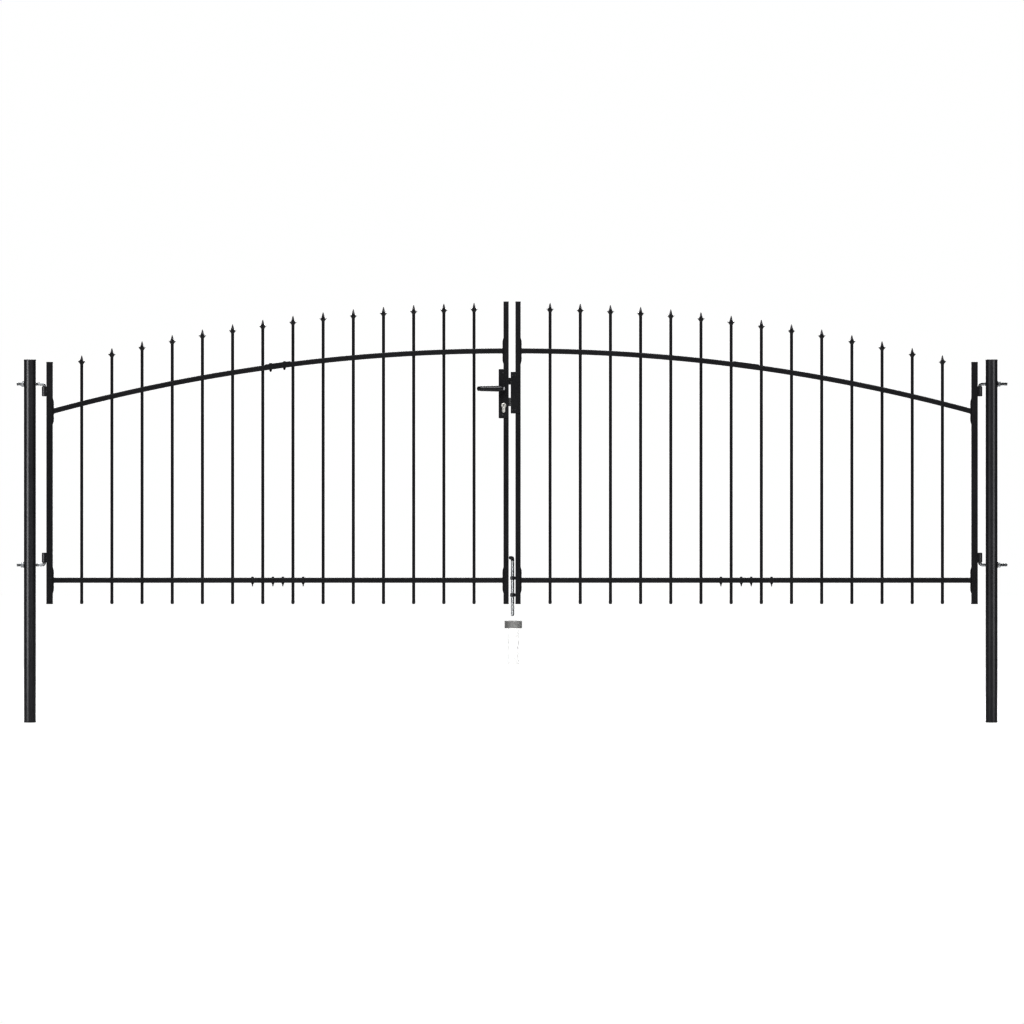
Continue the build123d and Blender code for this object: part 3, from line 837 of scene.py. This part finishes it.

# %% [markdown]
# ## Key cylinder
# A profile cylinder is a round eye on a narrower web, the same shape right through the lock. In the eye turns
# a plug, seen as a ring with a fine groove round it and a narrow keyway down its middle. The keyway is only a
# shallow slot, and a block of dark steel at its floor is painted shade that stands for its depth.

# %% Key cylinder
low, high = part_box("key_cylinder")
eye_radius = (high.x - low.x) / 2
eye = Vector(((low.x + high.x) / 2, 0, high.z - eye_radius))
half_depth = high.y
stem_half = 6.5 * mm
stem_depth = half_depth - 0.2 * mm
stem_top = eye.z - 0.8 * eye_radius
cylinder, keyway_shade_blocks = bmesh.new(), bmesh.new()
edges = block(cylinder, (eye.x - stem_half, -stem_depth, low.z), (eye.x + stem_half, stem_depth, stem_top))
foot_edges = [e for e in along(edges, 1) if e.verts[0].co.z < eye.z - eye_radius]
soften(cylinder, foot_edges, 0.98 * stem_half, segments=10)
plug_radius = 7.4 * mm
rim_ease = 0.5 * mm
groove_floor = half_depth - 0.9 * mm
slot_half, slot_reach, slot_depth = 1.1 * mm, 5.4 * mm, 0.9 * mm
outline = [
    (eye_radius, 0), (eye_radius, half_depth - rim_ease), (eye_radius - rim_ease, half_depth),
    (plug_radius + 0.5 * mm, half_depth), (plug_radius + 0.35 * mm, groove_floor),
    (plug_radius + 0.15 * mm, groove_floor), (plug_radius, half_depth - 0.1 * mm),
    (plug_radius - 0.3 * mm, half_depth),
]
for front in (-1, 1):
    ring = turned(cylinder, outline, eye, 72, axis=(0, front, 0))
    plug_rim = {
        e for v in ring for e in v.link_edges if e.is_boundary and abs(v.co.y) > half_depth - 0.01 * mm
    }
    slot_corners = [
        cylinder.verts.new(eye + Vector((i * slot_half, front * half_depth, j * slot_reach)))
        for i, j in ((-1, -1), (1, -1), (1, 1), (-1, 1))
    ]
    slot_edges = [cylinder.edges.new((slot_corners[i], slot_corners[i - 1])) for i in range(4)]
    bmesh.ops.triangle_fill(cylinder, edges=[*plug_rim, *slot_edges], use_beauty=True)
    walls = bmesh.ops.extrude_edge_only(cylinder, edges=slot_edges)["geom"]
    slot_floor = [g for g in walls if isinstance(g, bmesh.types.BMVert)]
    bmesh.ops.translate(cylinder, verts=slot_floor, vec=(0, -front * slot_depth, 0))
    # The block behind each slot is painted shade: dark steel where a deep keyway would lie in shadow.
    y_low, y_high = sorted(front * (half_depth - share * slot_depth) for share in (1, 3))
    block(keyway_shade_blocks, (eye.x - slot_half, y_low, eye.z - slot_reach),
          (eye.x + slot_half, y_high, eye.z + slot_reach))
settle(cylinder, "key_cylinder_turned", "left_leaf", "nickel", ["key_cylinder"])
settle(keyway_shade_blocks, "keyway_shade_blocks", "left_leaf", "dark_steel")

# %% [markdown]
# ## Levers
# The lever is a flattened bar: out from the spindle, along the gate, and back in at the end so that a sleeve
# can't catch on it. The bends show a highlight, so they have many steps. The grip thins towards its end: at
# the last, every vertex moves a share of the way to the middle.

# %% Levers
lever_thickness = 13 * mm
lever_width = 23 * mm
lever_bend = 14 * mm
lever_return = 24 * mm
lever_end = 5 * mm
lever_taper = 0.22
spindle = sum(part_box("lever_spindle"), Vector()) / 2
for name, way in (("front_lever", -1), ("rear_lever", 1)):
    low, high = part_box(name)
    root_y, outer_y = (high.y, low.y) if way < 0 else (low.y, high.y)
    grip_y = outer_y - way * lever_thickness / 2
    tip_x = low.x + lever_thickness / 2
    lever = bmesh.new()
    root = (spindle.x, root_y, spindle.z)
    grip = Bar(lever, root, (0, way, 0), lever_thickness / 2, lever_width / 2, sides=40)
    grip.run(abs(grip_y - root_y) - lever_bend)
    grip.bend((-1, 0, 0), lever_bend, steps=18)
    grip.run(spindle.x - tip_x - 2 * lever_bend)
    grip.bend((0, -way, 0), lever_bend, steps=18)
    grip.run(lever_return - lever_bend - lever_end)
    grip.dome(lever_end)
    for vert in lever.verts:
        share = min(1, max(0, (spindle.x - vert.co.x) / (spindle.x - tip_x)))
        vert.co.z = spindle.z + (vert.co.z - spindle.z) * (1 - lever_taper * share)
    settle(lever, f"{name}_grip", "lever", "black_coat", [name])

followers = bmesh.new()
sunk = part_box("lock_case")[1].y / mm - 0.6
outline = in_mm((4, sunk - 6), (7.1, sunk - 6), (7.1, sunk - 0.4), (6.7, sunk), (4, sunk))
for front in (-1, 1):
    turned(followers, outline, (spindle.x, 0, spindle.z), 40, axis=(0, front, 0))
settle(followers, "lock_followers", "lever", "dark_steel")

# %% [markdown]
# ## Drop rod, its handle and its guides
# The rod drops into the ground socket and holds the right leaf. Its top is bent forward to a handle, which
# was dipped in black plastic for grip. Two eyes welded to the stile guide it.

# %% Drop rod
rod_radius = 6.25 * mm
rod_bend = 12 * mm
rod_tip = 5 * mm
handle_offset = Vector((-9.5, -46, 0)) * mm
bar_end = handle_offset.length - 6 * mm
sleeve_radius = rod_radius * 1.06
sleeve_end = 1.5 * mm
low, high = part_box("drop_rod")
rod_x = high.x - rod_radius
bend_z = high.z - rod_radius - rod_bend
tip_z = low.z + rod_tip
rod = bmesh.new()
shaft = Bar(rod, (rod_x, 0, tip_z), (0, 0, 1), rod_radius)
shaft.run(bend_z - tip_z)
shaft.bend(handle_offset, rod_bend)
shaft.run(bar_end - rod_bend)
tip = Bar(rod, (rod_x, 0, tip_z), (0, 0, -1), rod_radius)
tip.dome(rod_tip)
settle(rod, "drop_rod_bar", "drop_rod", "zinc", ["drop_rod"])

grip = bmesh.new()
sleeve = Bar(grip, (rod_x, 0, bend_z), (0, 0, 1), sleeve_radius)
sleeve.bend(handle_offset, rod_bend)
sleeve.run(handle_offset.length - rod_bend - sleeve_end)
sleeve.dome(sleeve_end)
settle(grip, "drop_rod_grip", "drop_rod", "black_plastic", crease=80)

# %% Guides
guide = dict(
    bore=rod_radius + 0.25 * mm, radius=9.2 * mm, height=13 * mm, lip=0.6 * mm, ease=0.9 * mm,
    web_half=4.6 * mm, web_start=1 * mm, web_inset=0.5 * mm,
    bead_radius=1.8 * mm, bead_inset=1 * mm, ripples=5,
)
low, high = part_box("drop_rod_guides")
guides = bmesh.new()
for bottom in (low.z, high.z - guide["height"]):
    welded_eye(guides, rod_x, high.x, bottom, **guide)
settle(guides, "drop_rod_guide_eyes", "right_leaf", "black_coat", ["drop_rod_guides"])

# %% [markdown]
# ## Ground socket
# A pale pipe is set in the ground under the rod, with a thick grey collar flush with the drive. Both are
# turned outlines with a wall, so the bore is really open from above.

# %% Collar and pipe
low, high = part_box("ground_socket_collar")
pipe_low, pipe_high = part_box("ground_socket_tube")
socket_x = (low.x + high.x) / 2
outer = (high.x - low.x) / 2 / mm
pipe_outer = (pipe_high.x - pipe_low.x) / 2 / mm
bore = pipe_outer + 0.2
top = (high.z - low.z) / mm
collar = bmesh.new()
outline = in_mm(
    (bore, 0), (outer - 1, 0), (outer, 1), (outer, top - 2.2), (outer - 0.7, top - 0.7), (outer - 2.2, top),
    (pipe_outer + 1, top), (bore, top - 0.8), (bore, 0),
)
turned(collar, outline, (socket_x, 0, low.z), 72)
settle(collar, "socket_collar_cast", "posts", "grey_cast", ["ground_socket_collar"])

pipe_bore = pipe_outer - 2
top = (pipe_high.z - pipe_low.z) / mm
pipe = bmesh.new()
outline = in_mm(
    (pipe_bore, 0.4), (pipe_bore + 0.4, 0), (pipe_outer - 0.4, 0), (pipe_outer, 0.4), (pipe_outer, top - 0.6),
    (pipe_outer - 0.6, top), (pipe_bore + 0.4, top), (pipe_bore, top - 0.4), (pipe_bore, 0.4),
)
turned(pipe, outline, (socket_x, 0, pipe_low.z), 72)
settle(pipe, "socket_pipe", "posts", "white_plastic", ["ground_socket_tube"])

# %% [markdown]
# ## Screws at the splices
# Each leaf comes in two halves. At the bottom, self-tapping screws go straight through the rail, so their
# points hang out below. At the top a saddle of bent plate covers the joint, held down by two bolts on the
# left leaf and two rivets on the right one.

# %% Self-tapping screws and saddle bolts
screw_places = (-104.7 * mm, -20.5 * mm, 20.5 * mm, 104.7 * mm)
saddle_places = (-30 * mm, 27 * mm)
saddle_plate = 1.5 * mm
rivet_outline = in_mm((0, 0.2), (1.6, 0.2), (1.9, 1.1), (3.4, 0.9), (4.6, 0.3), (4.6, -0.8), (0, -0.8))
upward = Vector((0, 0, 1))


def tapping_screw(bm, x, seat_z):
    """Hexagon head on a washer above the rail. Below it a flanged nut and the screw's point."""
    seat = Vector((x, 0, seat_z))
    under = seat - upward * 2 * rail_half
    washer_hexagon(bm, seat, upward, [(0, 0), (5.6, 0), (6, 0.4), (5.4, 1), (0, 1)], 0.9, 8, 3.2)
    flange = [(0, 0), (6.6, 0), (7, 0.4), (6.6, 1.1), (5.2, 1.8), (0, 1.8)]
    washer_hexagon(bm, under, -upward, flange, 1.4, 8, 4.4)
    thread(bm, under - upward * 10.5 * mm, upward, 6 * mm, 2.7 * mm, pitch=1.8 * mm, turn_steps=14)
    drill = Bar(bm, under - upward * 10.3 * mm, -upward, 2.1 * mm, sides=12)
    drill.run(0.6 * mm)
    drill.run(5.6 * mm, 0.12)


def saddle_bolt(bm, top, under):
    """A hexagon bolt down through the saddle and the rail, with a domed nut below."""
    washer_hexagon(bm, top, upward, [(0, -1), (6, -1), (6, 0.9), (0, 0.9)], 0.8, 10, 3.4)
    washer_hexagon(bm, under, -upward, [(0, -1), (5.6, -1), (5.6, 1), (0, 1)], 0.8, 9, 4)
    acorn = Bar(bm, under - upward * 4.6 * mm, -upward, 4 * mm, sides=20)
    acorn.run(1.2 * mm)
    acorn.dome(3.6 * mm)


for side in sides:
    low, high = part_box(f"{side}_bottom_splice")
    leaf_middle = (low.x + high.x) / 2
    screws, bolts = bmesh.new(), bmesh.new()
    for offset in screw_places:
        tapping_screw(screws, leaf_middle + offset, bottom_rail_z + rail_half)
    settle(screws, f"{side}_splice_screws", f"{side}_leaf", "black_coat")
    for offset in saddle_places:
        x = leaf_middle + offset
        centre_z, stretch = arch_z(side, x), arch_stretch(side, x)
        top = Vector((x, 0, centre_z + (rail_half + saddle_plate) * stretch))
        if side == "left":
            saddle_bolt(bolts, top, Vector((x, 0, centre_z - rail_half * stretch)))
        else:
            turned(bolts, rivet_outline, top, 24)
    settle(bolts, f"{side}_saddle_bolts", f"{side}_leaf", "black_coat")

# %% [markdown]
# ## Welds on the rails
# Each picket passes through both rails and is tacked above and below. The weld is a small ring with a
# sloping face. On the arched rail the ring is sheared to follow the slope. Where a rail meets its end
# plate, a short bead crosses it above and below.

# %% Rail and picket welds
ring_outline = in_mm((5.2, 2.2), (5.9, 1.9), (6.9, 0.9), (7.7, -0.1), (5.2, -0.4))
bead_half = 8 * mm
for side in sides:
    beads = bmesh.new()
    for x in picket_places(side):
        level = (bottom_rail_z, rail_half, 0)
        sloping = (arch_z(side, x), rail_half * arch_stretch(side, x), arch_slope(side, x))
        for rail_z, rise, lean in (level, sloping):
            for up in (-1, 1):
                ring = turned(beads, [(r, up * h) for r, h in ring_outline], (x, 0, rail_z + up * rise), 14)
                for vert in ring:
                    vert.co.z += lean * (vert.co.x - x)
    for half in leaf_ends:
        _, x, _, _ = panel_ends(side, half)
        for rail_z, stretch in ((bottom_rail_z, 1), (arch_z(side, x), arch_stretch(side, x))):
            for up in (-1, 1):
                bead_z = rail_z + up * rail_half * stretch
                weld_bead(beads, (x, -bead_half, bead_z), (x, bead_half, bead_z), 1.9 * mm, 7, (1, 0, 0))
    settle(beads, f"{side}_picket_welds", f"{side}_leaf", "black_coat", crease=60)

# %% [markdown]
# ## Screws in the lock, the keeper and the plates
# Small countersunk screws close the lock case and the keeper, and hold the rails' end plates to the stiles.
# A countersunk head is flush, so only a shallow ring and its socket show.


# %% Countersunk screws
def countersunk(bm, seat, heading, radius):
    shares = [(0, -0.5), (0.42, -0.5), (0.46, 0.06), (0.86, 0.08), (0.96, 0.02), (1, -0.12)]
    turned(bm, [(r * radius, h * radius) for r, h in shares], seat, 20, axis=heading)


screw_inset = 14 * mm
for node, radius, places in (("lock_case", 2.6 * mm, [16.6 * mm]), ("keeper", 2.2 * mm, [6 * mm, 18 * mm])):
    low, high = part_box(node)
    screws = bmesh.new()
    for front in (-1, 1):
        for z in (low.z + screw_inset, high.z - screw_inset):
            for place in places:
                countersunk(screws, (low.x + place, front * high.y, z), (0, front, 0), radius)
    settle(screws, f"{node}_screws", body_of_node[node], "dark_steel")

plate_screw_offset = 29 * mm
plate_screw_radius = 4.2 * mm
for side in sides:
    screws = bmesh.new()
    for half in leaf_ends:
        seat, face, _, way = panel_ends(side, half)
        for rail_z in (bottom_rail_z, arch_z(side, seat)):
            for offset in (-plate_screw_offset, plate_screw_offset):
                countersunk(screws, (face, 0, rail_z + offset), (way, 0, 0), plate_screw_radius)
    settle(screws, f"{side}_plate_screws", f"{side}_leaf", "dark_steel")

# %% [markdown]
# ## Camera, light and floor
# The view is straight on and from far away, so uprights stay upright and no tube shows its side. Thin black
# bars on white seem to lose width, so a display gamma of one half darkens the pixels at their edges, and all
# lights are set for it. The surroundings are dim, and wide soft boxes at the sides draw the long highlights
# on the round posts. The backdrop is white to the camera alone, or every black tube would get a bright rim.

# %% Camera
view_distance = 40.0
view_width = 4.234
look_at = Vector((1.9932, 0, 0.870))
camera_data = bpy.data.cameras.new("camera")
camera_data.sensor_width = 36
camera_data.lens = camera_data.sensor_width * view_distance / view_width
camera_data.clip_end = 200
camera = bpy.data.objects.new("camera", camera_data)
camera.location = look_at - Vector((0, view_distance, 0))
camera.rotation_euler = (math.radians(90), 0, 0)
bpy.context.scene.collection.objects.link(camera)
bpy.context.scene.camera = camera
bpy.context.scene.view_settings.view_transform = "Standard"
bpy.context.scene.view_settings.gamma = 0.5
print("lens", round(camera_data.lens, 1), "mm")


# %% Floor and backdrop
def floor_sheet(name, depth, **sockets):
    mesh = bpy.data.meshes.new(name)
    sheet = bmesh.new()
    seat = Matrix.Translation((2, 0, -depth))
    bmesh.ops.create_grid(sheet, x_segments=1, y_segments=1, size=60, matrix=seat)
    sheet.to_mesh(mesh)
    sheet.free()
    floor = bpy.data.objects.new(name, mesh)
    bpy.context.scene.collection.objects.link(floor)
    mesh.materials.append(Finish(name).shade(**sockets))
    floor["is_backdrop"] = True
    return floor


seen_floor = floor_sheet(
    "white_floor", 0.5 * mm, Base_Color=(0.1, 0.1, 0.1, 1), Roughness=0.9, Specular_IOR_Level=0.0,
    Emission_Color=(1, 1, 1, 1), Emission_Strength=1.0,
)
seen_floor.visible_glossy = False
seen_floor.visible_diffuse = False
seen_floor.visible_shadow = False
bounce_floor = floor_sheet(
    "bounce_floor", 1.0 * mm, Base_Color=(0.8, 0.8, 0.8, 1), Roughness=0.9, Specular_IOR_Level=0.0
)
bounce_floor.visible_camera = False
world = bpy.data.worlds.new("studio")
bpy.context.scene.world = world
studio = NodeTree(world)
seen = studio.add("ShaderNodeLightPath", output="Is Camera Ray")
dim = 0.07
strength = dim + (1 - dim) * seen
backdrop = studio.add("ShaderNodeBackground", inputs={"Color": (1, 1, 1, 1), "Strength": strength})
studio.add("ShaderNodeOutputWorld", inputs={"Surface": backdrop})


# %% Soft boxes
def soft_box(name, place, aim, width, height, radiance, only=(), never=()):
    """An area light whose power follows its size, so its brightness is set directly. It may light a few
    pieces only, or all but a few, as a flag on a stand keeps a lamp off the rest."""
    data = bpy.data.lights.new(name, "AREA")
    data.shape = "RECTANGLE"
    data.size = width
    data.size_y = height
    data.energy = radiance * math.pi * width * height
    light = bpy.data.objects.new(name, data)
    light.location = place
    light.rotation_euler = (Vector(aim) - Vector(place)).to_track_quat("-Z", "Y").to_euler()
    light.visible_camera = False
    bpy.context.scene.collection.objects.link(light)
    if only or never:
        flagged = bpy.data.collections.new(f"{name}_pieces")
        for piece in (*only, *never):
            flagged.objects.link(bpy.data.objects[piece])
        for row in flagged.collection_objects:
            row.light_linking.link_state = "INCLUDE" if only else "EXCLUDE"
        light.light_linking.receiver_collection = flagged


gate_middle = (solid_low + solid_high) / 2
middle_x = gate_middle.x
post_light = {"left": (11.0, 1.0), "right": (6.6, 2.6)}
round_pieces = ("post_tube", "post_cap_moulding", "post_foot_moulding", "barrels_welded")
for side, way in inward.items():
    post = sum(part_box(f"{side}_post"), Vector()) / 2
    pieces = [f"{side}_{piece}" for piece in round_pieces]
    for name, out, radiance in zip(("outer", "inner"), (-way, way), post_light[side]):
        soft_box(f"{side}_{name}_box", (post.x + out * 2.2, -2.2, post.z), post, 2.2, 3.6, radiance, pieces)

levers = ["front_lever_grip", "rear_lever_grip"]
soft_box("lever_box", (middle_x + 3.0, 0.6, 1.0), gate_middle, 2.4, 3.2, 27.0, levers)
soft_box("cylinder_box", (eye.x - 1.0, -8.0, 1.6), eye, 5.0, 4.0, 0.06, ["key_cylinder_turned"])
bolt_light = {"left": (6.5, 4.0), "right": (1.2, 0.9)}
zinc_pieces = ("upper_hinge_bolt_threaded", "lower_hinge_bolt_threaded", "flanged_nuts")
bright_pieces = ["drop_rod_bar", "socket_pipe"]
for side in sides:
    pieces = [f"{side}_{piece}" for piece in zinc_pieces]
    bright_pieces += pieces
    bolt_x = stile_x(side, "hinge")
    front_light, side_light = bolt_light[side]
    soft_box(f"{side}_bolt_box", (bolt_x, -4.0, 6.0), (bolt_x, 0, 1.0), 3.0, 8.0, front_light, pieces)
    for way in (-1, 1):
        place, aim = (bolt_x + way * 4, 1.5, 1.2), (bolt_x, 0, 1.2)
        soft_box(f"{side}_thread_box_{way}", place, aim, 4, 4, side_light, pieces)

rod_aim = (middle_x, 0, 0.6)
pipe_aim = (middle_x, 0, 0.3)
fill_aim = (middle_x, 0, 1.0)
soft_box("guide_box", (middle_x - 2.2, -2.2, 0.9), rod_aim, 1.5, 2.4, 15.0, ["drop_rod_guide_eyes"])
soft_box("rod_box", (middle_x - 1.6, -3.2, 0.9), rod_aim, 3.0, 2.4, 6.0, ["drop_rod_bar"])
for way in (-1, 1):
    soft_box(f"pipe_box_{way}", (middle_x + way * 2.4, -1.6, 0.6), pipe_aim, 2, 2, 1.0, ["socket_pipe"])
soft_box("high_key", (middle_x, -4.8, 5.8), gate_middle, 9.0, 4.0, 13.0, never=bright_pieces)
soft_box("high_rear", (middle_x, 4.8, 5.4), gate_middle, 8.0, 3.0, 10.0, never=["socket_pipe"])
soft_box("front_fill", (middle_x, -14, 1.6), fill_aim, 11, 5, 0.72)
soft_box("rear_fill", (middle_x, 14, 1.6), fill_aim, 11, 5, 2.2, never=["socket_pipe"])
for way in (-1, 1):
    soft_box(f"side_fill_{way}", (middle_x + way * 8, 0, 1.4), gate_middle, 4, 2.6, 0.29)

# %% [markdown]
# ## Closing the lesson
# How far the dressed model's box has grown beyond the box of the solids is printed. The
# visual model must stay in the box of the solids.

# %% Sizes and finish
dressed_low, dressed_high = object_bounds()
grown = (dressed_high - dressed_low) - (solid_high - solid_low)
print("grown by", [round(v / mm, 2) for v in grown], "mm")
